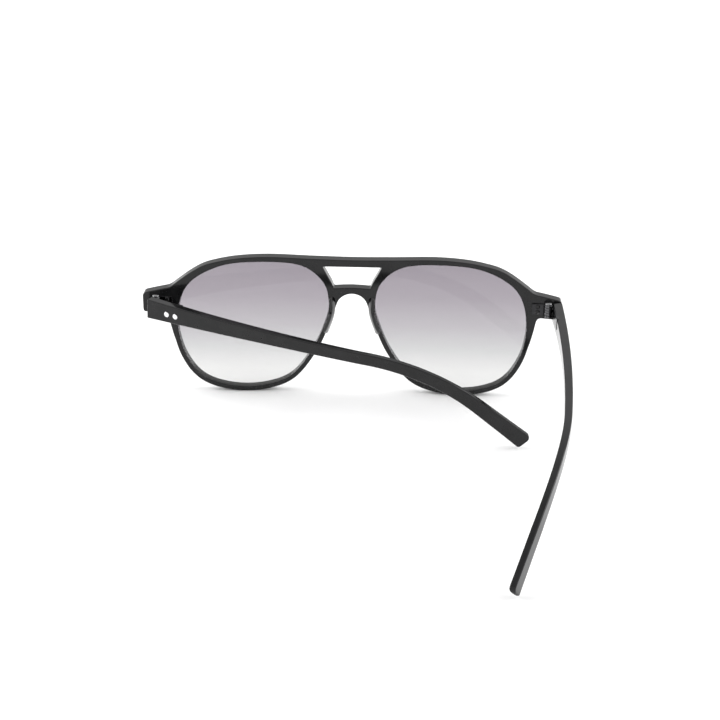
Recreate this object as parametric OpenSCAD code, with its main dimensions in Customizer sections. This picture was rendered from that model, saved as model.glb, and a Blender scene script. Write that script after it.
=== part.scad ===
// Double-bridge aviator sunglasses: a slim gloss-black front, two tinted lenses and two curved
// temples on five-knuckle hinges. Sizes are in millimetres.
// X runs across the face with the wearer's left at +X, the front faces -Y and the open temples run
// towards +Y. Z is up. Z = 0 is the table that the rims and the temple tips stand on, X = 0 is the
// mirror plane, and Y = 0 is the middle of the front's thickness at the bridge.

/* [Front] */
// Thickness of the front
front_t = 4; // [3:0.1:4.4]
// Radius of the gentle wrap of the front
wrap_r = 880; // [700:10:1400]
// Width of the rim around each lens opening
rim_w = 1.65; // [1.5:0.05:2]
// Half the width of the arch over the nose
nose_arch_r = 5.5; // [5:0.1:6.4]
// Height of that arch
nose_arch_h = 5.2; // [4.8:0.1:6]

/* [Lenses] */
// Thickness of a lens
lens_t = 1.8; // [1.4:0.1:2.2]
// Depth of the groove that holds the lens
groove_d = 0.6; // [0.4:0.05:0.9]
// Distance of the lens in front of the middle of the rim
lens_forward = 0.4; // [0:0.1:0.6]

/* [Nose pads] */
// Height of a pad along the rim
pad_h = 14; // [11:0.5:16]
// How far a pad stands behind the rim
pad_depth = 2.8; // [1.5:0.1:3.4]
// Height of the middle of a pad
pad_z = 29.7; // [26:0.1:31]
// How far a pad reaches past the rim towards the nose
pad_over = 0.7; // [0:0.1:0.8]

/* [Temples] */
// Length of a temple along its curve
temple_len = 145; // [141:0.5:148]
// Height of a temple at the hinge
root_h = 7.1; // [6.8:0.1:7.4]
// Height of a temple half way along
mid_h = 4; // [3.8:0.1:5]
// Height of a temple at its tip
tip_h = 5.5; // [5:0.1:6.4]
// Thickness of a temple at the hinge
root_t = 3.2; // [2.9:0.1:3.4]
// Thickness of a temple half way along
mid_t = 2.5; // [2.2:0.05:2.8]
// Thickness of a temple at its tip
tip_t = 2; // [1.9:0.1:3]
// How far the left temple is folded in from open, in degrees
left_fold = 66.7; // [0:0.1:80]
// How far the right temple is folded in from open, in degrees
right_fold = 0; // [0:1:40]

/* [Hinges] */
// Outer radius of a knuckle
knuckle_r = 1.5; // [1.4:0.05:1.55]
// Radius of the bore through the knuckles
bore_r = 0.7; // [0.6:0.05:0.75]
// Height of one knuckle with its gap
knuckle_pitch = 0.95; // [0.85:0.05:1]
// Radial play between the screw and the knuckles
screw_play = 0.04; // [0.02:0.01:0.08]
// Thickness of a hinge leaf
leaf_t = 0.8; // [0.7:0.05:0.9]

/* [Hidden] */

gap = 0.03;            // clearance between two pieces that are set into each other
left = 1;
right = -1;

// Outline of the left lens opening, [x, z], anticlockwise from the nose
opening_knots = [[8.15, 34.2], [9.5, 26.8], [14.5, 15.4], [23.2, 5.1], [37.6, 1.6], [51.6, 5],
                 [59, 14.8], [61.2, 28.2], [57.4, 40.6], [46, 47.6], [31.5, 49.25], [17.8, 48],
                 [10.2, 42]];
// Top edge of the left half of the front, [x, z], from the middle to the end piece
brow_knots = [[-14, 50.6], [0, 50.35], [14, 50.6], [29, 51.1], [40, 50.5], [48.3, 48.95], [52.6, 47.5],
              [56.7, 45.1], [60.8, 42.1], [63.8, 39.9], [66.4, 39.3], [72, 38.1]];
// End piece from its top corner round to the outer side of the rim
end_piece = [[72.7, 37.8], [73.05, 37.3], [73.1, 36.6], [73.1, 31.5], [72.9, 30.9], [72.2, 30.7],
             [66, 31.1], [65.2, 30.9], [64.7, 30.3], [64.4, 29.3], [63.9, 26.4], [62.9, 22]];
// Left half of the opening between the two bridges, from top to bottom
bridge_side = [[10.3, 47.8], [8.7, 44.7], [7.15, 41.9], [6.3, 39.75]];
bridge_low_z = 40.1;   // top of the lower bridge in its middle
arch_top_z = 37.8;       // top of the nose arch

back_y = front_t / 2;
pad_inset = 0.15;      // how far a pad keeps off the edge of the lens opening
pad_foot_x = 13;       // where the plane under a pad touches the back of the front
end_x = end_piece[3][0];
root_y = wrap_y(end_x) + back_y + 0.08;

hinge_x = 68.3;
hinge_y = wrap_y(hinge_x) + back_y + 1.3;
hinge_z = 32.35;
knuckle_gap = 0.06;
hinge_top = hinge_z + 5 * knuckle_pitch;
sweep_r = knuckle_r + 0.12;
leaf_z = 32.7;
leaf_h = 4;
leaf_proud = 0.15;     // how far the temple's leaf stands out of its inner face
front_leaf_l = 5.6;
front_leaf_y = hinge_y - 1.85;
pin_x = hinge_x - 3.6;
web_t = 0.9;           // thickness of the web from a temple knuckle to its leaf
screw_head_r = 1.25;
screw_rim_h = 0.35;
screw_dome_h = 0.3;
slot_w = 0.3;
temple_leaf_l = 13;

temple_z = 34;         // middle of the temple's root
steps = 36;
step_l = temple_len / steps;
// Downward angle of the temple at the hinge, before the ear bend and after it, with where it is reached
drop_angles = [2.6, 3.5, 38.7];
drop_at = [0, 83, 125];
// Inward angle of the temple, in the same way
turn_angles = [-2.5, 5.6, 25.5];
turn_at = [0, 75.7, 124.7];
tip_slant = 0.8;       // how much further the tip reaches at its top than at its bottom
tip_top_r = 2.2;
tip_low_r = 0.9;
wire_t = 0.9;
wire_h = 1.8;
wire_from = 5;
wire_to = 33;
rivet_at = [8.3, 11.8];
rivet_r = 0.6;
rivet_head_r = 0.95;
pin_head_r = 0.85;
pin_inset = 1;         // height of a pin above or below the nearer edge of its leaf

// Distance of the wrapped front behind its middle
function wrap_y(x) = wrap_r - sqrt(wrap_r * wrap_r - x * x);

// Point at t between b and c on the smooth curve through a, b, c and d
function blend(a, b, c, d, t) =
    0.5 * (2 * b + (c - a) * t + (2 * a - 5 * b + 4 * c - d) * t * t + (3 * b - a - 3 * c + d) * t * t * t);
function closed_curve(k, n) = [for (i = [0 : len(k) - 1], j = [0 : n - 1])
    blend(k[(i + len(k) - 1) % len(k)], k[i], k[(i + 1) % len(k)], k[(i + 2) % len(k)], j / n)];
function open_curve(k, n) = concat([for (i = [1 : len(k) - 3], j = [0 : n - 1])
    blend(k[i - 1], k[i], k[i + 1], k[i + 2], j / n)], [k[len(k) - 2], k[len(k) - 1]]);
// Anticlockwise loop moved outwards by d
function outset(p, d) = [for (i = [0 : len(p) - 1])
    let (a = p[(i + len(p) - 1) % len(p)], b = p[(i + 1) % len(p)], v = (b - a) / norm(b - a))
    p[i] + d * [v[1], -v[0]]];
function flip_x(p) = [for (i = [len(p) - 1 : -1 : 0]) [-p[i][0], p[i][1]]];

curve_n = 8;           // points from one knot of the opening to the next
opening = closed_curve(opening_knots, curve_n);
rim = outset(opening, rim_w);
// Left half of the front's outer edge: brow, end piece, rim, side of the nose and nose arch
rim_from = 6 * curve_n + 3;
rim_to = curve_n + 2;
half_outline = concat(open_curve(brow_knots, 6), end_piece, [for (i = [rim_from : -1 : rim_to]) rim[i]],
    [for (a = [12 : 6 : 90]) [nose_arch_r * cos(a), arch_top_z - nose_arch_h * (1 - sin(a))]]);

// Value at s of a quantity that changes evenly between the places listed in at
function between(values, at, s) =
    s < at[1] ? values[0] + (values[1] - values[0]) * s / at[1]
    : s < at[2] ? values[1] + (values[2] - values[1]) * (s - at[1]) / (at[2] - at[1])
    : values[2];
function drop(s) = between(drop_angles, drop_at, s);
function turn(s) = between(turn_angles, turn_at, s);
// Value at s of a size given at the root, half way and at the tip
function along(root, mid, tip, s) = let (k = s / temple_len)
    root * (1 - k) * (1 - 2 * k) + 4 * mid * k * (1 - k) + tip * k * (2 * k - 1);
function temple_h(s) = along(root_h, mid_h, tip_h, s);
function temple_t(s) = along(root_t, mid_t, tip_t, s);
// Centre line at each step: [distance along Y, inward offset, height, length so far]
path = [for (i = 0, y = 0, c = 0, z = 0; i <= steps;
    m = (i + 0.5) * step_l,
    y = y + step_l * cos(drop(m)) * cos(turn(m)),
    c = c + step_l * cos(drop(m)) * sin(turn(m)),
    z = z - step_l * sin(drop(m)),
    i = i + 1) [y, c, z, i * step_l]];

// Side view of a strip along the temple, half_h above and below the centre line
function side_point(i, half_h) = let (a = i == 0 ? 0 : drop(path[i][3]))
    [root_y + path[i][0] + half_h * sin(a), temple_z + path[i][2] + half_h * cos(a)];
// Rounded corner of the tip in side view, radius r, at the top (up = 1) or at the bottom (up = -1)
function tip_corner(r, up) = let (a = drop(temple_len), t = [cos(a), -sin(a)], n = up * [sin(a), cos(a)],
    c = side_point(steps, 0) + (up * tip_slant / 2 - r) * t + (temple_h(temple_len) / 2 - r) * n)
    [for (f = up > 0 ? [90 : -18 : 0] : [0 : 18 : 90]) c + r * (cos(f) * t + sin(f) * n)];
function temple_side() = concat(
    [for (i = [0 : steps - 1]) side_point(i, temple_h(path[i][3]) / 2)],
    tip_corner(tip_top_r, 1), tip_corner(tip_low_r, -1),
    [for (i = [steps - 1 : -1 : 0]) side_point(i, -temple_h(path[i][3]) / 2)]);
function wire_side(h) = concat([for (i = [wire_from : wire_to]) side_point(i, h / 2)],
                               [for (i = [wire_to : -1 : wire_from]) side_point(i, -h / 2)]);
// Plan view of a strip whose outer side lies inset inside the temple's outer face
function plan_point(i, inset) = let (a = turn(path[i][3]))
    [end_x - path[i][1] - inset * cos(a), root_y + path[i][0] - inset * sin(a)];
function plan_end(inset) = plan_point(steps, inset) + 8 * [-sin(turn_angles[2]), cos(turn_angles[2])];
function plan_loop(margin) = concat(
    [for (i = [0 : steps]) plan_point(i, margin)], [plan_end(margin)],
    [plan_end(tip_t - margin)], [for (i = [steps : -1 : 0]) plan_point(i, temple_t(path[i][3]) - margin)]);
function wire_plan(t) = concat(
    [for (i = [wire_from : wire_to]) plan_point(i, (temple_t(path[i][3]) - t) / 2)],
    [for (i = [wire_to : -1 : wire_from]) plan_point(i, (temple_t(path[i][3]) + t) / 2)]);

// Height of a rivet at a distance s from the temple's root, a little under the centre line
function rivet_z(s) = temple_z - 0.2 - s * sin(drop_angles[0]);

// A flat outline in X and Z, bent to the wrap, between two distances in front of the middle
module wrapped(from, to) {
    intersection() {
        rotate([90, 0, 0]) translate([0, 0, -12]) linear_extrude(24) children();
        translate([0, wrap_r, -5]) difference() {
            cylinder(r = wrap_r + to, h = 65, $fn = 720);
            translate([0, 0, -1]) cylinder(r = wrap_r + from, h = 67, $fn = 720);
        }
    }
}

module both_sides() {
    children();
    mirror([1, 0, 0]) children();
}

// Puts a piece of the left side on the given side
module on_side(side) {
    mirror([side < 0 ? 1 : 0, 0, 0]) children();
}

module folded(side) {
    on_side(side) translate([hinge_x, hinge_y, 0])
        rotate([0, 0, side > 0 ? left_fold : right_fold]) translate([-hinge_x, -hinge_y, 0]) children();
}

// Temple pieces drawn along the first stretch of the temple, whose inner face is at X = 0
module along_root() {
    translate([end_x - root_t, root_y, 0]) rotate([0, 0, turn_angles[0]]) children();
}

module knuckle(i, r) {
    translate([hinge_x, hinge_y, hinge_z + i * knuckle_pitch + knuckle_gap / 2])
        cylinder(r = r, h = knuckle_pitch - knuckle_gap, $fn = 48);
}

module hinge_bore() {
    translate([hinge_x, hinge_y, hinge_z - 1])
        cylinder(r = bore_r, h = 5 * knuckle_pitch + 2, $fn = 48);
}

// Space swept by the knuckle of the other leaf
module knuckle_sweep(i) {
    translate([hinge_x, hinge_y, hinge_z + i * knuckle_pitch - knuckle_gap / 2])
        cylinder(r = sweep_r, h = knuckle_pitch + knuckle_gap, $fn = 48);
}

module front_outline() {
    difference() {
        polygon(concat(half_outline, flip_x([for (i = [1 : len(half_outline) - 2]) half_outline[i]])));
        both_sides() polygon(opening);
        polygon(concat(bridge_side, [[3.2, 39.98], [0, bridge_low_z], [-3.2, 39.98]],
                       flip_x(bridge_side)));
    }
}

module front_leaf_box(extra) {
    translate([hinge_x - front_leaf_l - extra, front_leaf_y - extra, leaf_z - extra])
        cube([front_leaf_l + 2 * extra, leaf_t + 2 * extra, leaf_h + 2 * extra]);
}

// Pins that hold the front leaf, radius r, from depth into the front to the leaf
module pin_shafts(r, length) {
    for (z = [leaf_z + pin_inset, leaf_z + leaf_h - pin_inset])
        translate([pin_x, front_leaf_y + leaf_t, z]) rotate([90, 0, 0])
            cylinder(r = r, h = length, $fn = 32);
}

module front_frame() {
    color([0.03, 0.03, 0.035]) difference() {
        wrapped(-front_t / 2, front_t / 2) front_outline();
        wrapped(lens_forward - lens_t / 2 - gap, lens_forward + lens_t / 2 + gap)
            both_sides() polygon(outset(opening, groove_d + gap));
        for (side = [left, right]) on_side(side) {
            front_leaf_box(gap);
            translate([hinge_x, hinge_y, hinge_z - 0.2])
                cylinder(r = sweep_r, h = 5 * knuckle_pitch + 0.4, $fn = 48);
            pin_shafts(rivet_r + gap, leaf_t + 1.9);
        }
    }
}

module lens(side) {
    color([0.45, 0.42, 0.46, 0.5]) on_side(side)
        wrapped(lens_forward - lens_t / 2, lens_forward + lens_t / 2)
            polygon(outset(opening, groove_d));
}

// Crescent pad on the nose side of the rim's inner face
module nose_pad(side) {
    bulge_r = (pad_h * pad_h / 4 + pad_depth * pad_depth) / (2 * pad_depth);
    color([0.05, 0.05, 0.055]) on_side(side) intersection() {
        translate([0, 10, 0]) rotate([90, 0, 0]) linear_extrude(10) difference() {
            polygon(outset(opening, rim_w + pad_over));
            polygon(outset(opening, pad_inset));
        }
        translate([0, back_y + gap / 2 + wrap_y(pad_foot_x), 0]) rotate([0, 0, atan(pad_foot_x / wrap_r)])
            translate([-pad_foot_x, 0, 0]) cube([40, 10, 60]);
        translate([0, back_y + pad_depth - bulge_r, pad_z]) rotate([0, 90, 0])
            cylinder(r = bulge_r, h = 20, $fn = 180);
    }
}

module front_hinge(side) {
    color([0.12, 0.12, 0.13]) on_side(side) difference() {
        union() {
            front_leaf_box(0);
            for (i = [0, 2, 4]) knuckle(i, knuckle_r);
        }
        for (i = [1, 3]) knuckle_sweep(i);
        hinge_bore();
        pin_shafts(rivet_r + gap, leaf_t + 1);
    }
}

module front_hinge_pins(side) {
    color([0.3, 0.3, 0.31]) on_side(side) {
        pin_shafts(rivet_r, leaf_t + 1.8);
        for (z = [leaf_z + pin_inset, leaf_z + leaf_h - pin_inset])
            translate([pin_x, front_leaf_y + leaf_t, z]) rotate([-90, 0, 0])
                cylinder(r1 = pin_head_r, r2 = 0.5, h = 0.3, $fn = 32);
    }
}

module hinge_screw(side) {
    color([0.3, 0.3, 0.31]) on_side(side) translate([hinge_x, hinge_y, 0]) difference() {
        union() {
            translate([0, 0, hinge_z + 0.1])
                cylinder(r = bore_r - screw_play, h = 5 * knuckle_pitch, $fn = 48);
            translate([0, 0, hinge_top]) cylinder(r = screw_head_r, h = screw_rim_h, $fn = 48);
            translate([0, 0, hinge_top + screw_rim_h])
                cylinder(r1 = screw_head_r, r2 = 0.8, h = screw_dome_h, $fn = 48);
        }
        translate([-2, -slot_w / 2, hinge_top + screw_rim_h]) cube([4, slot_w, 1]);
    }
}

module temple_leaf_box(extra) {
    along_root() translate([-leaf_proud - extra, -extra, leaf_z - extra])
        cube([leaf_t + 2 * extra, temple_leaf_l + 2 * extra, leaf_h + 2 * extra]);
}

// Rivets through the temple and its hinge leaf, radius r, starting at X from inside the inner face
module rivet_shafts(r, from, length) {
    for (s = rivet_at)
        along_root() translate([from, s, rivet_z(s)]) rotate([0, 90, 0])
            cylinder(r = r, h = length, $fn = 32);
}

module temple_hinge(side) {
    color([0.12, 0.12, 0.13]) folded(side) difference() {
        union() {
            temple_leaf_box(0);
            for (i = [1, 3]) knuckle(i, knuckle_r);
            for (i = [1, 3])
                translate([hinge_x, hinge_y - web_t / 2, hinge_z + i * knuckle_pitch + knuckle_gap / 2])
                    cube([end_x - root_t - hinge_x + 0.1, web_t, knuckle_pitch - knuckle_gap]);
        }
        for (i = [0, 2, 4]) knuckle_sweep(i);
        hinge_bore();
        rivet_shafts(rivet_r + gap, -2, 4);
    }
}

module temple(side) {
    color([0.03, 0.03, 0.035]) folded(side) difference() {
        intersection() {
            translate([40, 0, 0]) rotate([90, 0, 90]) linear_extrude(40)
                polygon(temple_side());
            linear_extrude(60) polygon(plan_loop(0));
        }
        temple_leaf_box(gap);
        rivet_shafts(rivet_r + gap, -1, root_t + 2);
        rivet_shafts(rivet_head_r + gap, root_t - 0.3, 1);
        intersection() {
            translate([40, 0, 0]) rotate([90, 0, 90]) linear_extrude(40)
                polygon(wire_side(wire_h + 2 * gap));
            linear_extrude(60) polygon(wire_plan(wire_t + 2 * gap));
        }
    }
}

module temple_rivets(side) {
    color([0.85, 0.85, 0.87]) folded(side) {
        rivet_shafts(rivet_r, -leaf_proud - 0.1, root_t + leaf_proud);
        rivet_shafts(rivet_head_r, root_t - 0.25, 0.3);
        for (s = rivet_at)
            along_root() translate([root_t + 0.05, s, rivet_z(s)]) rotate([0, 90, 0])
                cylinder(r1 = rivet_head_r, r2 = 0.5, h = 0.15, $fn = 32);
    }
}

module core_wire(side) {
    color([0.5, 0.5, 0.52]) folded(side) intersection() {
        translate([40, 0, 0]) rotate([90, 0, 90]) linear_extrude(40)
            polygon(wire_side(wire_h));
        linear_extrude(60) polygon(wire_plan(wire_t));
    }
}

front_frame();
lens(left);  // left_lens
lens(right);  // right_lens
nose_pad(left);  // left_nose_pad
nose_pad(right);  // right_nose_pad
front_hinge(left);  // left_front_hinge
front_hinge(right);  // right_front_hinge
front_hinge_pins(left);  // left_front_hinge_pins
front_hinge_pins(right);  // right_front_hinge_pins
hinge_screw(left);  // left_hinge_screw
hinge_screw(right);  // right_hinge_screw
temple_hinge(left);  // left_temple_hinge
temple_hinge(right);  // right_temple_hinge
temple(left);  // left_temple
temple(right);  // right_temple
temple_rivets(left);  // left_temple_rivets
temple_rivets(right);  // right_temple_rivets
core_wire(left);  // left_core_wire
core_wire(right);  // right_core_wire
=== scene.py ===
import math

import bpy
import numpy as np
from mathutils import Matrix, Vector
from mathutils.geometry import delaunay_2d_cdt


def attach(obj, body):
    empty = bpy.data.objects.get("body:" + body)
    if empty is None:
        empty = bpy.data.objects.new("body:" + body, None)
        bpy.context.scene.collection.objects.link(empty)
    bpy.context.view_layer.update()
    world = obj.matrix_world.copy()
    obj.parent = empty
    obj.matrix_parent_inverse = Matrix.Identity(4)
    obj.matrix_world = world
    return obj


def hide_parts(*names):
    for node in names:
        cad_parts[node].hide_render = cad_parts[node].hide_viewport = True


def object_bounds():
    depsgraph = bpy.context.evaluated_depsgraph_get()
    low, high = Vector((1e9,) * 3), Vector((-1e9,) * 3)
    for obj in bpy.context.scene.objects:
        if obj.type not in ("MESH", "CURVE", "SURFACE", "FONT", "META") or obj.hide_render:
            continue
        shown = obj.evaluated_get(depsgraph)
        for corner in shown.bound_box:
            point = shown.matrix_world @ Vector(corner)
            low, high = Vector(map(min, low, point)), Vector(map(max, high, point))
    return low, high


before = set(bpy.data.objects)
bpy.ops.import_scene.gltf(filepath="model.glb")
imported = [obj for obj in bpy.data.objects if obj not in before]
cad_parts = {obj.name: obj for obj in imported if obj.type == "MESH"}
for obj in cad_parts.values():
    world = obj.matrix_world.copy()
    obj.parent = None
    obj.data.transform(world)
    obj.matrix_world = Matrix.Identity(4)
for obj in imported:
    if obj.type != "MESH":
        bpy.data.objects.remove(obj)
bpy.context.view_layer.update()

# Sizes are in millimetres, in the CAD's own frame, and become metres in make_mesh().
MM = 0.001
LEFT, RIGHT = 1, -1

# The front: wrap, thickness, rim and the knots of its outlines, [x, z] of the left half
WRAP_R = 880
FRONT_T = 4
BACK_Y = FRONT_T / 2
RIM_W = 1.65
ARCH_R, ARCH_H = 5.5, 5.2
ARCH_TOP_Z = 37.8
CURVE_N = 8
OPENING_KNOTS = [(8.15, 34.2), (9.5, 26.8), (14.5, 15.4), (23.2, 5.1), (37.6, 1.6), (51.6, 5), (59, 14.8),
                 (61.2, 28.2), (57.4, 40.6), (46, 47.6), (31.5, 49.25), (17.8, 48), (10.2, 42)]
BROW_KNOTS = [(-14, 50.6), (0, 50.35), (14, 50.6), (29, 51.1), (40, 50.5), (48.3, 48.95), (52.6, 47.5),
              (56.7, 45.1), (60.8, 42.1), (63.8, 39.9), (66.4, 39.3), (72, 38.1)]
END_PIECE = [(72.7, 37.8), (73.05, 37.3), (73.1, 36.6), (73.1, 31.5), (72.9, 30.9), (72.2, 30.7), (66, 31.1),
             (65.2, 30.9), (64.7, 30.3), (64.4, 29.3), (63.9, 26.4), (62.9, 22)]
BRIDGE_SIDE = [(10.3, 47.8), (8.7, 44.7), (7.15, 41.9), (6.3, 39.75), (3.2, 39.98)]
BRIDGE_LOW_Z = 40.1
FRONT_EDGE_R = 0.34
POINT_GAP = 0.55

# The lenses
LENS_T = 1.8
GROOVE_D = 0.6
LENS_FORWARD = 0.4
LENS_DOME = 0.45

# The nose pads
PAD_H, PAD_DEPTH, PAD_Z = 14, 2.8, 29.7
PAD_OVER, PAD_INSET = 0.7, 0.15

# The temples
TEMPLE_LEN = 145
HEIGHTS = (7.1, 4, 5.5)
WIDTHS = (3.2, 2.5, 2)
DROP_ANGLES, DROP_AT = (2.6, 3.5, 38.7), (0, 83, 125)
TURN_ANGLES, TURN_AT = (-2.5, 5.6, 25.5), (0, 75.7, 124.7)
TIP_SLANT, TIP_TOP_R, TIP_LOW_R, TIP_IN_R = 0.8, 2.2, 0.9, 1.1
END_X = 73.1
TEMPLE_Z = 34
FOLD = {LEFT: 66.7, RIGHT: 0}
ARM = {LEFT: "left_arm", RIGHT: "right_arm"}
SIDE_NAME = {LEFT: "left", RIGHT: "right"}
TEMPLE_EDGE_R = 0.4
RIVET_AT, RIVET_DROP = (8.3, 11.8), 0.2

# The hinges
HINGE_X, HINGE_Z = 68.3, 32.35
KNUCKLE_R, BORE_R = 1.5, 0.7
KNUCKLE_PITCH, KNUCKLE_GAP = 0.95, 0.06
LEAF_T, LEAF_Z, LEAF_H, LEAF_PROUD = 0.8, 32.7, 4, 0.15
FRONT_LEAF_L, TEMPLE_LEAF_L = 5.6, 13


def wrap_y(x):
    return WRAP_R - math.sqrt(WRAP_R ** 2 - x * x)


def wrap_slope(x):
    return x / math.sqrt(WRAP_R ** 2 - x * x)


HINGE_Y = wrap_y(HINGE_X) + BACK_Y + 1.3
ROOT_Y = wrap_y(END_X) + BACK_Y + 0.08
HINGE_TOP = HINGE_Z + 5 * KNUCKLE_PITCH


# ---------------------------------------------------------------- outlines
def blend(a, b, c, d, t):
    """Point at t between b and c on the smooth curve through a, b, c and d."""
    a, b, c, d = (np.array(p, float) for p in (a, b, c, d))
    return 0.5 * (2 * b + (c - a) * t + (2 * a - 5 * b + 4 * c - d) * t * t
                  + (3 * b - a - 3 * c + d) * t ** 3)


def closed_curve(knots, n):
    m = len(knots)
    return np.array([blend(knots[i - 1], knots[i], knots[(i + 1) % m], knots[(i + 2) % m], j / n)
                     for i in range(m) for j in range(n)])


def open_curve(knots, n):
    inner = [blend(*knots[i - 1:i + 3], j / n) for i in range(1, len(knots) - 2) for j in range(n)]
    return inner + [np.array(knots[-2], float), np.array(knots[-1], float)]


def normals_2d(loop):
    """Outward unit normals of an anticlockwise loop."""
    v = np.roll(loop, -1, 0) - np.roll(loop, 1, 0)
    v /= np.linalg.norm(v, axis=1)[:, None]
    return np.stack([v[:, 1], -v[:, 0]], 1)


def outset(loop, d):
    return loop + d * normals_2d(loop)


def resample(loop, gap):
    """The closed loop with evenly spaced points, about gap apart."""
    ring = np.vstack([loop, loop[:1]])
    s = np.concatenate([[0], np.cumsum(np.linalg.norm(np.diff(ring, axis=0), axis=1))])
    at = np.linspace(0, s[-1], max(12, round(s[-1] / gap)), endpoint=False)
    return np.stack([np.interp(at, s, ring[:, k]) for k in (0, 1)], 1)


def softened(loop, radius, gap=POINT_GAP):
    """The closed loop with its corners rounded to about radius, as moulded and polished edges are."""
    fine = 0.12
    p = resample(loop, fine)
    for _ in range(int(2 * (radius * 0.5 / fine) ** 2)):
        p = 0.5 * p + 0.25 * (np.roll(p, 1, 0) + np.roll(p, -1, 0))
    return resample(p, gap)


def mirrored(loop):
    """The loop on the other side, still anticlockwise."""
    return loop[::-1] * np.array([-1.0, 1.0])


opening = closed_curve(OPENING_KNOTS, CURVE_N)


def front_outline():
    rim = outset(opening, RIM_W)
    arch = [(ARCH_R * math.cos(math.radians(a)), ARCH_TOP_Z - ARCH_H * (1 - math.sin(math.radians(a))))
            for a in range(12, 91, 6)]
    half = np.array([*open_curve(BROW_KNOTS, 6), *END_PIECE,
                     *rim[CURVE_N + 2:6 * CURVE_N + 4][::-1], *arch])
    clockwise = np.vstack([half, (half * [-1.0, 1.0])[::-1][1:-1]])
    return softened(clockwise[::-1], 0.7)


def bridge_window():
    half = np.array(BRIDGE_SIDE + [(0, BRIDGE_LOW_Z)])
    clockwise = np.vstack([half, (half * [-1.0, 1.0])[::-1][1:]])
    return softened(clockwise[::-1], 0.5, 0.4)


# ---------------------------------------------------------------- meshes
def facing(p, n, face):
    """Whether the face's own winding points the same way as its corners' normals."""
    ring = p[list(face)]
    after = np.roll(ring, -1, 0)
    return np.cross(ring, after).sum(0) @ n[list(face)].sum(0) >= 0


def make_mesh(name, points, faces, normals, side=LEFT, arm=False):
    """Object from points and normals of the left side, with that side's temple open."""
    p = np.array(points, float)
    n = np.array(normals, float)
    if arm:
        a = math.radians(FOLD[side])
        turn = np.array([[math.cos(a), -math.sin(a), 0], [math.sin(a), math.cos(a), 0], [0, 0, 1]])
        axis = np.array([HINGE_X, HINGE_Y, 0])
        p = (p - axis) @ turn.T + axis
        n = n @ turn.T
    if side == RIGHT:
        p = p * [-1, 1, 1]
        n = n * [-1, 1, 1]
    n /= np.maximum(np.linalg.norm(n, axis=1), 1e-9)[:, None]
    faces = [f if facing(p, n, f) else tuple(reversed(f)) for f in faces]
    mesh = bpy.data.meshes.new(name)
    mesh.from_pydata((p * MM).tolist(), [], [tuple(int(i) for i in f) for f in faces])
    mesh.validate()
    mesh.polygons.foreach_set("use_smooth", [True] * len(mesh.polygons))
    mesh.normals_split_custom_set_from_vertices(n.tolist())
    obj = bpy.data.objects.new(name, mesh)
    bpy.context.scene.collection.objects.link(obj)
    return obj


def ring_faces(rings, n, first=0):
    """Quads between rings of n points each, numbered from first."""
    return [(first + r * n + i, first + r * n + (i + 1) % n,
             first + (r + 1) * n + (i + 1) % n, first + (r + 1) * n + i)
            for r in range(rings - 1) for i in range(n)]


def sheared(p, n):
    """Bends flat points (x, y, z) and their normals to the wrap of the front."""
    q = [(x, y + wrap_y(x), z) for x, y, z in p]
    m = [(nx - wrap_slope(x) * ny, ny, nz) for (x, _, _), (nx, ny, nz) in zip(p, n)]
    return q, m


def inside(loop, pts):
    """Which points lie inside the closed loop."""
    a, b = loop, np.roll(loop, -1, 0)
    x, z = pts[:, :1], pts[:, 1:]
    crosses = ((a[:, 1] > z) != (b[:, 1] > z)) & (
        x < (b[:, 0] - a[:, 0]) * (z - a[:, 1]) / (b[:, 1] - a[:, 1] + 1e-12) + a[:, 0])
    return crosses.sum(1) % 2 == 1


def plate(outer, holes, half_t, edge_r, arc=5):
    """Points, faces and normals of a flat plate with rounded edges, from y = -half_t to half_t."""
    points, normals, faces = [], [], []
    flat = {1: [], -1: []}
    for loop, sign in [(outer, 1)] + [(h, -1) for h in holes]:
        nrm = normals_2d(loop) * sign
        rows = [(math.radians(90 * k / arc), 1) for k in range(arc + 1)]
        rows += [(f, -1) for f, _ in reversed(rows)]
        first, n = len(points), len(loop)
        for f, face in rows:
            inset = edge_r * (1 - math.sin(f))
            y = face * (half_t - edge_r * (1 - math.cos(f)))
            for p, m in zip(loop, nrm):
                points.append((p[0] - m[0] * inset, y, p[1] - m[1] * inset))
                normals.append((m[0] * math.sin(f), face * math.cos(f), m[1] * math.sin(f)))
        quads = ring_faces(len(rows), n, first)
        faces += quads if sign > 0 else [tuple(reversed(q)) for q in quads]
        flat[1].append(list(range(first, first + n)))
        flat[-1].append(list(range(first + (len(rows) - 1) * n, first + len(rows) * n)))
    edge_loops = [np.array([(points[i][0], points[i][2]) for i in ids]) for ids in flat[1]]
    ids = [i for loop in flat[1] for i in loop]
    twin = dict(zip(ids, [i for loop in flat[-1] for i in loop]))
    start, edges = 0, []
    for loop in flat[1]:
        n = len(loop)
        edges += [(start + i, start + (i + 1) % n) for i in range(n)]
        start += n
    flat_points = [Vector((points[i][0], points[i][2])) for i in ids]
    _, _, tris, origin, _, _ = delaunay_2d_cdt(flat_points, edges, [], 0, 1e-7)
    centres = np.array([np.mean([flat_points[origin[v][0]] for v in t], 0) for t in tris])
    keep = inside(edge_loops[0], centres)
    for hole in edge_loops[1:]:
        keep &= ~inside(hole, centres)
    for t, k in zip(tris, keep):
        if k:
            a, b, c = (ids[origin[v][0]] for v in t)
            faces.append((a, c, b))
            faces.append((twin[a], twin[b], twin[c]))
    return points, faces, normals


def rounded_rect(w, h, r, n=5):
    """Points (a, b) and normals of a rectangle with rounded corners, anticlockwise."""
    out = []
    for k, (sa, sb) in enumerate([(1, 1), (-1, 1), (-1, -1), (1, -1)]):
        for j in range(n + 1):
            f = math.radians(90 * (k + j / n))
            out.append((sa * (w / 2 - r) + r * math.cos(f), sb * (h / 2 - r) + r * math.sin(f),
                        math.cos(f), math.sin(f)))
    return out


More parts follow.
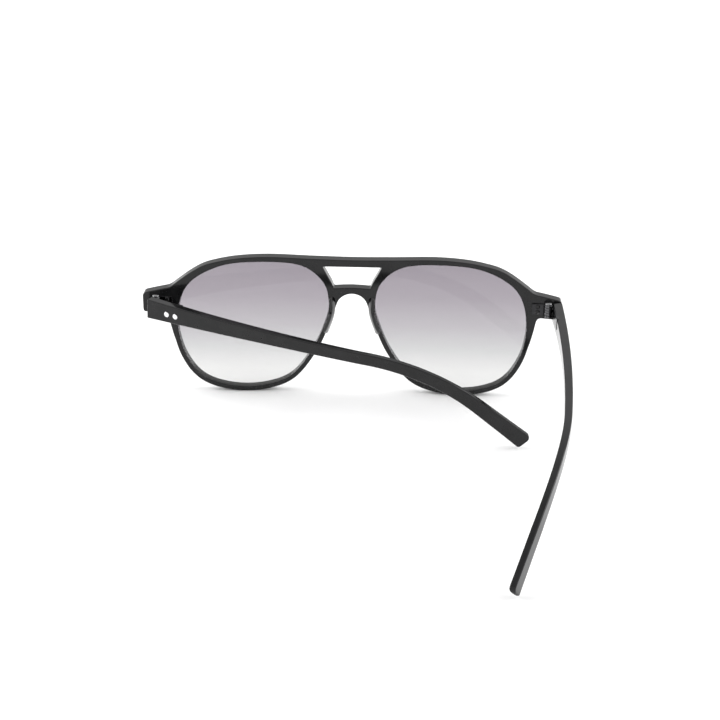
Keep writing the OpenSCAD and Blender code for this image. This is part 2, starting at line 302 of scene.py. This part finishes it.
def lathe(profile, turns=48):
    """Points, faces and normals of a turned piece about Z, from a profile of (r, z) rising in z."""
    prof = np.array(profile, float)
    d = np.gradient(prof, axis=0)
    d /= np.maximum(np.linalg.norm(d, axis=1), 1e-9)[:, None]
    points, normals = [], []
    for (r, z), (dr, dz) in zip(prof, d):
        for i in range(turns):
            a = 2 * math.pi * i / turns
            points.append((r * math.cos(a), r * math.sin(a), z))
            normals.append((dz * math.cos(a), dz * math.sin(a), -dr))
    return points, ring_faces(len(prof), turns), normals


def chamfered(r, z0, z1, c, arc=3, inner=0.0):
    """Profile of a disc or ring of radius r with rounded edges of radius c."""
    up = [(r - c + c * math.sin(math.radians(90 * k / arc)), z0 + c - c * math.cos(math.radians(90 * k / arc)))
          for k in range(arc + 1)]
    down = [(x, z0 + z1 - z) for x, z in reversed(up)]
    return [(inner, z0), (r - c - 0.02, z0)] + up + down + [(r - c - 0.02, z1), (inner, z1)]


def moved(part, move, turn=None):
    """The (points, faces, normals) part turned by a 3x3 matrix and moved."""
    p, f, n = part
    t = np.array(turn if turn is not None else np.eye(3), float)
    return (np.array(p, float) @ t.T + np.array(move, float)), f, np.array(n, float) @ t.T


def joined(*parts):
    points, faces, normals = [], [], []
    for p, f, n in parts:
        faces += [tuple(i + len(points) for i in face) for face in f]
        points += [tuple(q) for q in p]
        normals += [tuple(q) for q in n]
    return points, faces, normals


def box_part(low, high, r):
    """Block with rounded edges along Z and small ones at its ends."""
    (x0, y0, z0), (x1, y1, z1) = low, high
    w, d = x1 - x0, y1 - y0
    points, normals = [], []
    arc = 3
    rows = [(math.radians(90 * k / arc), -1) for k in range(arc + 1)]
    rows += [(f, 1) for f, _ in reversed(rows)]
    for f, end in rows:
        inset = r * (1 - math.sin(f))
        z = (z0 if end < 0 else z1) - end * r * (1 - math.cos(f))
        for a, b, na, nb in rounded_rect(w - 2 * inset, d - 2 * inset, max(r * 1.05 - inset, 0.01), 3):
            points.append(((x0 + x1) / 2 + a, (y0 + y1) / 2 + b, z))
            normals.append((na * math.sin(f), nb * math.sin(f), end * math.cos(f)))
    n = len(points) // len(rows)
    faces = ring_faces(len(rows), n)
    faces.append(tuple(reversed(range(n))))
    faces.append(tuple(range(len(points) - n, len(points))))
    return points, faces, normals


# ---------------------------------------------------------------- temple path
def between(values, at, s):
    return float(np.interp(s, at, values))


def along(values, s):
    k = s / TEMPLE_LEN
    root, mid, tip = values
    return root * (1 - k) * (1 - 2 * k) + 4 * mid * k * (1 - k) + tip * k * (2 * k - 1)


PATH_STEP = 0.25
_y, _c, _z = 0.0, 0.0, 0.0
_track = [(0.0, 0.0, 0.0)]
for _i in range(round(TEMPLE_LEN / PATH_STEP)):
    _m = (_i + 0.5) * PATH_STEP
    _drop, _turn = (math.radians(between(v, at, _m))
                    for v, at in ((DROP_ANGLES, DROP_AT), (TURN_ANGLES, TURN_AT)))
    _y += PATH_STEP * math.cos(_drop) * math.cos(_turn)
    _c += PATH_STEP * math.cos(_drop) * math.sin(_turn)
    _z -= PATH_STEP * math.sin(_drop)
    _track.append((_y, _c, _z))
_track = np.array(_track)


def temple_frame(s):
    """Middle of the section at s, its outward, upward and forward directions, and the top's normal."""
    y, c, z = (np.interp(s, np.arange(len(_track)) * PATH_STEP, _track[:, k]) for k in range(3))
    drop, turn = math.radians(between(DROP_ANGLES, DROP_AT, s)), math.radians(between(TURN_ANGLES, TURN_AT, s))
    out = np.array([math.cos(turn), math.sin(turn), 0])
    up = np.array([-math.sin(drop) * math.tan(turn), math.sin(drop), math.cos(drop)])
    slope = math.atan2(math.tan(drop), math.cos(turn))
    top_n = np.array([0, math.sin(slope), math.cos(slope)])
    forward = np.array([-math.sin(turn) * math.cos(drop), math.cos(turn) * math.cos(drop), -math.sin(drop)])
    middle = np.array([END_X - c, ROOT_Y + y, TEMPLE_Z + z]) - out * along(WIDTHS, s) / 2
    return middle, out, up, forward, top_n


def arc_inset(s, r):
    """How far a corner of radius r at the tip cuts into the section at s."""
    d = s - (TEMPLE_LEN - r)
    return 0 if d <= 0 else r - math.sqrt(max(r * r - d * d, 0))


def temple_part():
    """The whole temple, whose tip is rounded in side view and on its inner side."""
    root_arc = [(0.4 * (1 - math.cos(f)), 0.4 * (1 - math.sin(f)), f) for f in np.linspace(0, math.pi / 2, 6)]
    shaft = [(s, 0, math.pi / 2) for s in np.linspace(1.2, TEMPLE_LEN - 3, 160)]
    tip = [(TEMPLE_LEN - 3 + 3 * math.sin(k), 0, math.pi / 2) for k in np.linspace(0.06, math.pi / 2 - 0.02, 22)]
    points, normals = [], []
    for s, inset, f in root_arc + shaft + tip:
        middle, out, up, forward, top_n = temple_frame(s)
        top, low = arc_inset(s, TIP_TOP_R), arc_inset(s, TIP_LOW_R)
        inner, outer = arc_inset(s, TIP_IN_R), arc_inset(s, 0.5)
        w, h = along(WIDTHS, s), along(HEIGHTS, s)
        slant = TIP_SLANT * max(0, (s - TEMPLE_LEN + 12) / 12)
        r = max(TEMPLE_EDGE_R - inset, 0.05)
        w2, h2 = w - 2 * inset - inner - outer, h - 2 * inset - top - low
        closing = min(1, max(0, (s - TEMPLE_LEN + TIP_IN_R) / TIP_IN_R)) ** 3
        for a, b, na, nb in rounded_rect(w2, h2, min(r, w2 * 0.45, h2 * 0.45)):
            a, b = a + (inner - outer) / 2, b + (low - top) / 2
            points.append(middle + out * a + up * b + forward * slant * b / h)
            side_n = math.sin(f) * (out * na + top_n * nb)
            if s > TEMPLE_LEN / 2:
                tilt = closing + (0.8 * arc_slope(s, TIP_TOP_R) * max(nb, 0))
                side_n = side_n + forward * tilt
            else:
                side_n = side_n - forward * math.cos(f)
            normals.append(side_n)
    rows = len(root_arc) + len(shaft) + len(tip)
    n = len(points) // rows
    faces = ring_faces(rows, n)
    faces.append(tuple(range(n)))
    faces.append(tuple(range(len(points) - n, len(points))))
    return points, faces, normals


def arc_slope(s, r):
    """Slope of that corner at s, up to 3."""
    d = s - (TEMPLE_LEN - r)
    return 0 if d <= 0 else min(3, d / math.sqrt(max(r * r - d * d, 0.05)))


# ---------------------------------------------------------------- materials
def nodes_of(name):
    mat = bpy.data.materials.new(name)
    mat.use_nodes = True
    tree = mat.node_tree
    return mat, tree, tree.nodes["Principled BSDF"]


def noise(tree, scale, detail=3.0, stretch=(1, 1, 1)):
    """Noise in metres of the object's own space."""
    coord = tree.nodes.new("ShaderNodeTexCoord")
    mapping = tree.nodes.new("ShaderNodeMapping")
    mapping.inputs["Scale"].default_value = stretch
    tex = tree.nodes.new("ShaderNodeTexNoise")
    tex.inputs["Scale"].default_value = scale
    tex.inputs["Detail"].default_value = detail
    tree.links.new(coord.outputs["Object"], mapping.inputs["Vector"])
    tree.links.new(mapping.outputs["Vector"], tex.inputs["Vector"])
    return tex.outputs["Fac"]


def ramp(tree, source, low, high, at=(0.3, 0.7)):
    node = tree.nodes.new("ShaderNodeMapRange")
    node.inputs["From Min"].default_value, node.inputs["From Max"].default_value = at
    node.inputs["To Min"].default_value, node.inputs["To Max"].default_value = low, high
    tree.links.new(source, node.inputs["Value"])
    return node.outputs["Result"]


def add_bump(tree, shader, source, strength, distance):
    bump = tree.nodes.new("ShaderNodeBump")
    bump.inputs["Strength"].default_value = strength
    bump.inputs["Distance"].default_value = distance
    tree.links.new(source, bump.inputs["Height"])
    tree.links.new(bump.outputs["Normal"], shader.inputs["Normal"])


def colour_mix(tree, factor, dark, light):
    mix = tree.nodes.new("ShaderNodeMix")
    mix.data_type = "RGBA"
    mix.inputs[6].default_value, mix.inputs[7].default_value = (*dark, 1), (*light, 1)
    tree.links.new(factor, mix.inputs[0])
    return mix.outputs[2]


def acetate(name, dark, light, rough, ior):
    """Polished black acetate: near-black, with faint clouding and fine polishing marks."""
    mat, tree, shader = nodes_of(name)
    shader.inputs["IOR"].default_value = ior
    cloud = noise(tree, 260, 4)
    tree.links.new(colour_mix(tree, ramp(tree, cloud, 0, 1), dark, light), shader.inputs["Base Color"])
    marks = noise(tree, 900, 2, (1, 0.12, 1))
    tree.links.new(ramp(tree, marks, rough * 0.92, rough * 1.1), shader.inputs["Roughness"])
    add_bump(tree, shader, noise(tree, 500, 1), 0.04, 0.00001)
    return mat


def metal(name, colour, rough, brushed):
    mat, tree, shader = nodes_of(name)
    shader.inputs["Metallic"].default_value = 1
    grain = noise(tree, 5200, 2, (1, 1, 0.08) if brushed else (1, 1, 1))
    tint = ramp(tree, grain, 0, 1)
    tree.links.new(colour_mix(tree, tint, [c * 0.86 for c in colour], colour), shader.inputs["Base Color"])
    tree.links.new(ramp(tree, grain, rough * 0.8, rough * 1.3), shader.inputs["Roughness"])
    add_bump(tree, shader, grain, 0.08, 0.00001)
    return mat


def tinted_lens(name):
    """Clear plastic with a dye that fades from grey-violet at the top to clear at the bottom."""
    mat, tree, shader = nodes_of(name)
    shader.inputs["Transmission Weight"].default_value = 1
    shader.inputs["IOR"].default_value = 1.25
    shader.inputs["Roughness"].default_value = 0.0
    coord = tree.nodes.new("ShaderNodeTexCoord")
    xyz = tree.nodes.new("ShaderNodeSeparateXYZ")
    tree.links.new(coord.outputs["Object"], xyz.inputs["Vector"])
    height = ramp(tree, xyz.outputs["Z"], 0, 1, (0, 0.05))
    dye = tree.nodes.new("ShaderNodeValToRGB")
    stops = [(0.03, (0.79, 0.79, 0.785)), (0.16, (0.725, 0.725, 0.72)), (0.33, (0.54, 0.54, 0.545)),
             (0.50, (0.425, 0.41, 0.43)), (0.72, (0.325, 0.30, 0.33)), (0.97, (0.27, 0.245, 0.275))]
    for k, (at, colour) in enumerate(stops):
        stop = dye.color_ramp.elements[k] if k < 2 else dye.color_ramp.elements.new(at)
        stop.position = at
        stop.color = (*colour, 1)
    tree.links.new(height, dye.inputs["Fac"])
    tree.links.new(dye.outputs["Color"], shader.inputs["Base Color"])
    return mat


def table_top(name):
    mat, tree, shader = nodes_of(name)
    shader.inputs["Base Color"].default_value = (0.93, 0.93, 0.93, 1)
    shader.inputs["Roughness"].default_value = 0.6
    return mat


black = acetate("black_acetate", (0.006, 0.006, 0.0063), (0.011, 0.011, 0.0115), 0.1, 1.36)
pad_black = acetate("pad_acetate", (0.002, 0.002, 0.0022), (0.005, 0.005, 0.0053), 0.05, 1.5)
plated = metal("black_nickel", (0.04, 0.04, 0.042), 0.22, True)
# The knuckles' metal is a lighter copy of the leaf's black plating, a painted highlight so they catch more light than
# the leaf.
knuckle_highlight_metal = metal("knuckle_nickel_painted_highlight", (0.13, 0.13, 0.135), 0.2, True)
screw_metal = metal("screw_nickel", (0.26, 0.26, 0.265), 0.18, False)
bright = metal("polished_steel", (0.86, 0.86, 0.87), 0.14, False)
wire_metal = metal("drawn_wire", (0.5, 0.5, 0.52), 0.35, True)
lens_mat = tinted_lens("lens_dye")


def finish_piece(obj, material, body, node):
    obj.data.materials.append(material)
    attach(obj, body)
    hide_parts(node)


# ---------------------------------------------------------------- the pieces
def make_front():
    outline = front_outline()
    rim_hole = softened(opening, 0.3)
    holes = [rim_hole, mirrored(rim_hole), bridge_window()]
    points, faces, normals = plate(outline, holes, BACK_Y, FRONT_EDGE_R)
    points, normals = sheared(points, normals)
    obj = make_mesh("front", points, faces, normals)
    finish_piece(obj, black, "front", "front_frame")


def make_lens(side):
    rim = resample(outset(opening, GROOVE_D - 0.1), 1.0)
    middle = rim.mean(0)
    rings = 14
    n = len(rim)
    points, normals = [], []
    for face in (1, -1):
        for k in range(rings):
            share = 1 - k / rings
            for p in middle + (rim - middle) * share:
                dome = LENS_DOME * (1 - share ** 2)
                points.append((p[0], -LENS_FORWARD - dome + face * LENS_T / 2, p[1]))
                tilt = (p - middle) * (-2 * LENS_DOME / 26 ** 2) * -1
                normals.append((-face * tilt[0], face, -face * tilt[1]))
        points.append((middle[0], -LENS_FORWARD - LENS_DOME + face * LENS_T / 2, middle[1]))
        normals.append((0, face, 0))
    half = rings * n + 1
    faces = []
    for face, first in ((1, 0), (-1, half)):
        side_faces = ring_faces(rings, n, first)
        last = first + (rings - 1) * n
        side_faces += [(last + i, last + (i + 1) % n, first + rings * n) for i in range(n)]
        faces += [tuple(reversed(f)) for f in side_faces] if face > 0 else side_faces
    faces += [(i, (i + 1) % n, half + (i + 1) % n, half + i) for i in range(n)]
    points, normals = sheared(points, normals)
    obj = make_mesh(SIDE_NAME[side] + "_tinted_lens", points, faces, normals, side)
    finish_piece(obj, lens_mat, "front", SIDE_NAME[side] + "_lens")


def make_pad(side):
    """Crescent on the nose side of the rim, with a rounded crest and pointed ends."""
    bulge_r = (PAD_H ** 2 / 4 + PAD_DEPTH ** 2) / (2 * PAD_DEPTH)
    half_pad = (RIM_W + PAD_OVER - PAD_INSET) / 2
    line = resample(outset(opening, PAD_INSET + half_pad), 0.25)
    line = line[(line[:, 0] < 20) & (abs(line[:, 1] - PAD_Z) < PAD_H / 2 - 0.15)]
    line = line[np.argsort(-line[:, 1])]
    along_line = np.gradient(line, axis=0)
    along_line /= np.linalg.norm(along_line, axis=1)[:, None]
    across_pad = np.linspace(-1, 1, 17)
    # Height over the width and its slope: steep towards the nose, with the crest near the lens
    rise = np.interp(across_pad, (-1, -0.9, -0.5, -0.1, 0.2, 0.7, 0.95, 1), (0.1, 0.35, 0.78, 0.96, 1, 0.93, 0.7, 0.4))
    lean = np.interp(across_pad, (-1, -0.15, 0.15, 0.75, 1), (-1.25, -1.12, 0, 0.5, 1.35))
    points, normals = [], []
    for p, t in zip(line, along_line):
        u = (p[1] - PAD_Z) / (PAD_H / 2)
        crest = PAD_DEPTH * (1 - abs(u) ** 3) ** 0.8
        half_w = (half_pad - 0.03) * min(1.0, crest / 1.2) ** 0.5
        across = np.array([-t[1], t[0]])
        slope = (p[1] - PAD_Z) / math.sqrt(bulge_r ** 2 - (p[1] - PAD_Z) ** 2)
        row = [(-1, 0, -math.pi / 2), *zip(across_pad, rise, lean), (1, 0, math.pi / 2)]
        for a, b, f in row:
            q = p + across * a * half_w
            points.append((q[0], BACK_Y - 0.05 + max(crest, 0.05) * b, q[1]))
            lift = slope * math.cos(f)
            normals.append((across[0] * math.sin(f), math.cos(f), across[1] * math.sin(f) + lift))
    arc = len(row) - 1
    m = arc + 1
    faces = [(r * m + i, r * m + i + 1, (r + 1) * m + i + 1, (r + 1) * m + i)
             for r in range(len(line) - 1) for i in range(arc)]
    faces += [(r * m + arc, r * m, (r + 1) * m, (r + 1) * m + arc) for r in range(len(line) - 1)]
    faces += [tuple(reversed(range(m))), tuple(range(len(points) - m, len(points)))]
    points, normals = sheared(points, normals)
    obj = make_mesh(SIDE_NAME[side] + "_pad", points, faces, normals, side)
    finish_piece(obj, pad_black, "front", SIDE_NAME[side] + "_nose_pad")


def knuckles(which):
    parts = []
    for i in which:
        z0 = HINGE_Z + i * KNUCKLE_PITCH + KNUCKLE_GAP / 2
        z1 = z0 + KNUCKLE_PITCH - KNUCKLE_GAP
        parts.append(moved(lathe(chamfered(KNUCKLE_R, z0, z1, 0.15, inner=BORE_R)), (HINGE_X, HINGE_Y, 0)))
    return parts


def lighten_knuckles_for_highlight(obj, first):
    """Gives the knuckles, whose faces start at first, a lighter copy of the plating metal: a painted highlight on the
    same plating as the leaf.
    """
    obj.data.materials.append(knuckle_highlight_metal)
    for poly in obj.data.polygons[first:]:
        poly.material_index = 1


def make_hinges(side):
    name = SIDE_NAME[side]
    leaf_y = HINGE_Y - 1.85
    leaf = box_part((HINGE_X - FRONT_LEAF_L, leaf_y, LEAF_Z), (HINGE_X - KNUCKLE_R * 0.4, leaf_y + LEAF_T,
                    LEAF_Z + LEAF_H), 0.15)
    part = joined(leaf, *knuckles((0, 2, 4)))
    obj = make_mesh(name + "_hinge_front_leaf", *part, side)
    finish_piece(obj, plated, "front", name + "_front_hinge")
    # The knuckles get the lighter copy of the plating, a painted highlight.
    lighten_knuckles_for_highlight(obj, len(leaf[1]))

    a = math.radians(TURN_ANGLES[0])
    turn = [[math.cos(a), -math.sin(a), 0], [math.sin(a), math.cos(a), 0], [0, 0, 1]]
    root = (END_X - WIDTHS[0], ROOT_Y, 0)
    leaf = moved(box_part((-LEAF_PROUD, 0.2, LEAF_Z), (LEAF_T - LEAF_PROUD, TEMPLE_LEAF_L, LEAF_Z + LEAF_H), 0.12),
                 root, turn)
    webs = [box_part((HINGE_X, HINGE_Y - 0.45, HINGE_Z + i * KNUCKLE_PITCH + KNUCKLE_GAP / 2),
                     (root[0] + 0.1, HINGE_Y + 0.45, HINGE_Z + (i + 1) * KNUCKLE_PITCH - KNUCKLE_GAP / 2), 0.1)
            for i in (1, 3)]
    part = joined(leaf, *webs, *knuckles((1, 3)))
    obj = make_mesh(name + "_hinge_temple_leaf", *part, side, True)
    finish_piece(obj, plated, ARM[side], name + "_temple_hinge")
    # The knuckles get the lighter copy of the plating, a painted highlight.
    lighten_knuckles_for_highlight(obj, len(leaf[1]))

    shank = [(0, HINGE_Z + 0.1), (BORE_R - 0.04, HINGE_Z + 0.1), (BORE_R - 0.04, HINGE_TOP), (1.15, HINGE_TOP),
             (1.23, HINGE_TOP + 0.06), (1.25, HINGE_TOP + 0.15), (1.25, HINGE_TOP + 0.34)]
    dome = [(1.25 * math.cos(math.radians(f)) ** 0.8, HINGE_TOP + 0.34 + 0.3 * math.sin(math.radians(f)))
            for f in range(10, 90, 10)] + [(0.001, HINGE_TOP + 0.64)]
    screw = moved(lathe(shank + dome), (HINGE_X, HINGE_Y, 0))
    finish_piece(make_mesh(name + "_screw", *screw, side), screw_metal, "front", name + "_hinge_screw")

    dots = []
    to_x = np.array([[0, 0, 1], [0, 1, 0], [-1, 0, 0]], float)
    for s in RIVET_AT:
        z = TEMPLE_Z - RIVET_DROP - s * math.sin(math.radians(DROP_ANGLES[0]))
        head = [(0.6, -WIDTHS[0] + 0.2), (0.6, -0.25), (0.95, -0.24), (0.95, 0.05)]
        head += [(0.95 * math.cos(math.radians(f)), 0.05 + 0.15 * math.sin(math.radians(f)))
                 for f in range(15, 90, 15)] + [(0.001, 0.2)]
        at = np.array(root) + np.array(turn) @ np.array([WIDTHS[0], s, 0]) + [0, 0, z]
        dots.append(moved(lathe(head, 40), at, np.array(turn) @ to_x))
    finish_piece(make_mesh(name + "_rivet_dots", *joined(*dots), side, True), bright, ARM[side],
                 name + "_temple_rivets")


def make_temple(side):
    obj = make_mesh(SIDE_NAME[side] + "_side_arm", *temple_part(), side, True)
    finish_piece(obj, black, ARM[side], SIDE_NAME[side] + "_temple")


# ---------------------------------------------------------------- studio
def add_camera():
    """The camera behind and above the glasses, turned a little towards the wearer's right."""
    target = Vector((-2.95, 0, 11.75)) * MM
    distance, side_angle, height_angle, roll, lens = 599.7 * MM, 1.83, 24.16, 0.52, 84.0
    d, e = math.radians(side_angle), math.radians(height_angle)
    back = Vector((-math.sin(d) * math.cos(e), math.cos(d) * math.cos(e), math.sin(e)))
    data = bpy.data.cameras.new("camera")
    data.lens, data.sensor_width = lens, 36
    data.clip_start, data.clip_end = 0.01, 20
    cam = bpy.data.objects.new("camera", data)
    cam.matrix_world = (Matrix.Translation(target + back * distance)
                        @ (-back).to_track_quat("-Z", "Y").to_matrix().to_4x4()
                        @ Matrix.Rotation(math.radians(roll), 4, "Z"))
    bpy.context.scene.collection.objects.link(cam)
    bpy.context.scene.camera = cam


def add_floor():
    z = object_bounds()[0][2] - 0.00002
    mesh = bpy.data.meshes.new("floor")
    s = 4.0
    mesh.from_pydata([(-s, -s, z), (s, -s, z), (s, s, z), (-s, s, z)], [], [(0, 1, 2, 3)])
    floor = bpy.data.objects.new("floor", mesh)
    mesh.materials.append(table_top("white_table"))
    bpy.context.scene.collection.objects.link(floor)


def add_light(name, place, size, power):
    data = bpy.data.lights.new(name, "AREA")
    data.shape, data.size, data.size_y, data.energy = "RECTANGLE", size[0], size[1], power
    lamp = bpy.data.objects.new(name, data)
    lamp.location = place
    lamp.rotation_mode = "QUATERNION"
    lamp.rotation_quaternion = (-Vector(place)).to_track_quat("-Z", "Y")
    bpy.context.scene.collection.objects.link(lamp)


def add_studio():
    """White all round, a little darker high above the camera's side, with a softbox at each side."""
    world = bpy.data.worlds.new("studio")
    world.use_nodes = True
    tree = world.node_tree
    back = tree.nodes["Background"]
    back.inputs["Color"].default_value = (1, 1, 1, 1)
    coord = tree.nodes.new("ShaderNodeTexCoord")
    toward = tree.nodes.new("ShaderNodeVectorMath")
    toward.operation = "DOT_PRODUCT"
    toward.inputs[1].default_value = (0, 0.45, 0.89)
    tree.links.new(coord.outputs["Generated"], toward.inputs[0])
    level = tree.nodes.new("ShaderNodeMapRange")
    level.interpolation_type = "SMOOTHSTEP"
    level.inputs["From Min"].default_value, level.inputs["From Max"].default_value = 0.8, 0.98
    level.inputs["To Min"].default_value, level.inputs["To Max"].default_value = 1.0, 0.7
    tree.links.new(toward.outputs["Value"], level.inputs["Value"])
    depth = tree.nodes.new("ShaderNodeSeparateXYZ")
    tree.links.new(coord.outputs["Generated"], depth.inputs["Vector"])
    strength = tree.nodes.new("ShaderNodeMath")
    strength.operation = "MULTIPLY"
    tree.links.new(level.outputs["Result"], strength.inputs[0])
    tree.links.new(ramp(tree, depth.outputs["Y"], 0.72, 1.0, (-0.95, -0.7)), strength.inputs[1])
    tree.links.new(strength.outputs["Value"], back.inputs["Strength"])
    bpy.context.scene.world = world
    for x in (-1.2, 1.2):
        add_light("side_softbox", (x, -0.1, 0.65), (1.1, 1.0), 13.8)
    bpy.context.scene.view_settings.view_transform = "Standard"
    bpy.context.scene.view_settings.look = "None"


add_camera()
make_front()
for side in (LEFT, RIGHT):
    make_lens(side)
    make_pad(side)
    make_hinges(side)
    make_temple(side)
for side in ("left", "right"):
    for node, material in (("_core_wire", wire_metal), ("_front_hinge_pins", black)):
        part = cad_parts[side + node]
        part.data.materials.clear()
        part.data.materials.append(material)
add_floor()
add_studio()
